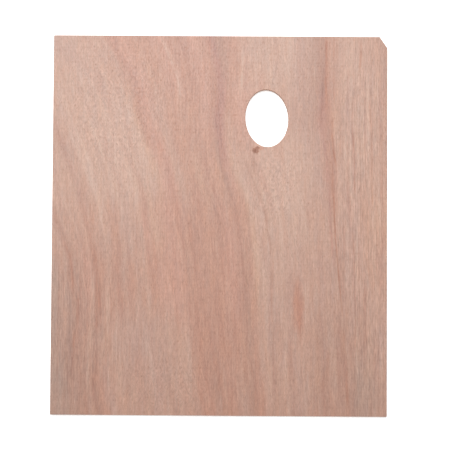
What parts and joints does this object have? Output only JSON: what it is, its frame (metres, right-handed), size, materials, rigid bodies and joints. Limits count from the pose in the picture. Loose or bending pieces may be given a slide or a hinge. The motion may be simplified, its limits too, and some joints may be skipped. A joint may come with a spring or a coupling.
{
  "type": "mixing palette",
  "caption": "Flat rectangular plywood board with an oval thumb hole near one end and one clipped corner, for holding and mixing paint.",
  "frame": {"origin": "middle of the back face, the face that lies on the table", "axes": "+Z out of the mixing face; +Y along the face grain, towards the end with the thumb hole; +X towards the long side with the clipped corner"},
  "size_m": [0.3, 0.34, 0.005],
  "materials": {
    "face_veneer": "sanded, unvarnished, pinkish brown with reddish bands and fine open pores",
    "crossband": "sawn edge of cross-laid veneer, sanded",
    "core": "sawn edge of long-grain veneer, sanded",
    "glue": "cured dark brown resin glue line"
  },
  "bodies": {
    "root": {"front_face_veneer": "face_veneer", "glue_line_4": "glue", "front_crossband": "crossband", "glue_line_3": "glue", "core_ply": "core", "glue_line_2": "glue", "back_crossband": "crossband", "glue_line_1": "glue", "back_face_veneer": "face_veneer"}
  },
  "joints": []
}
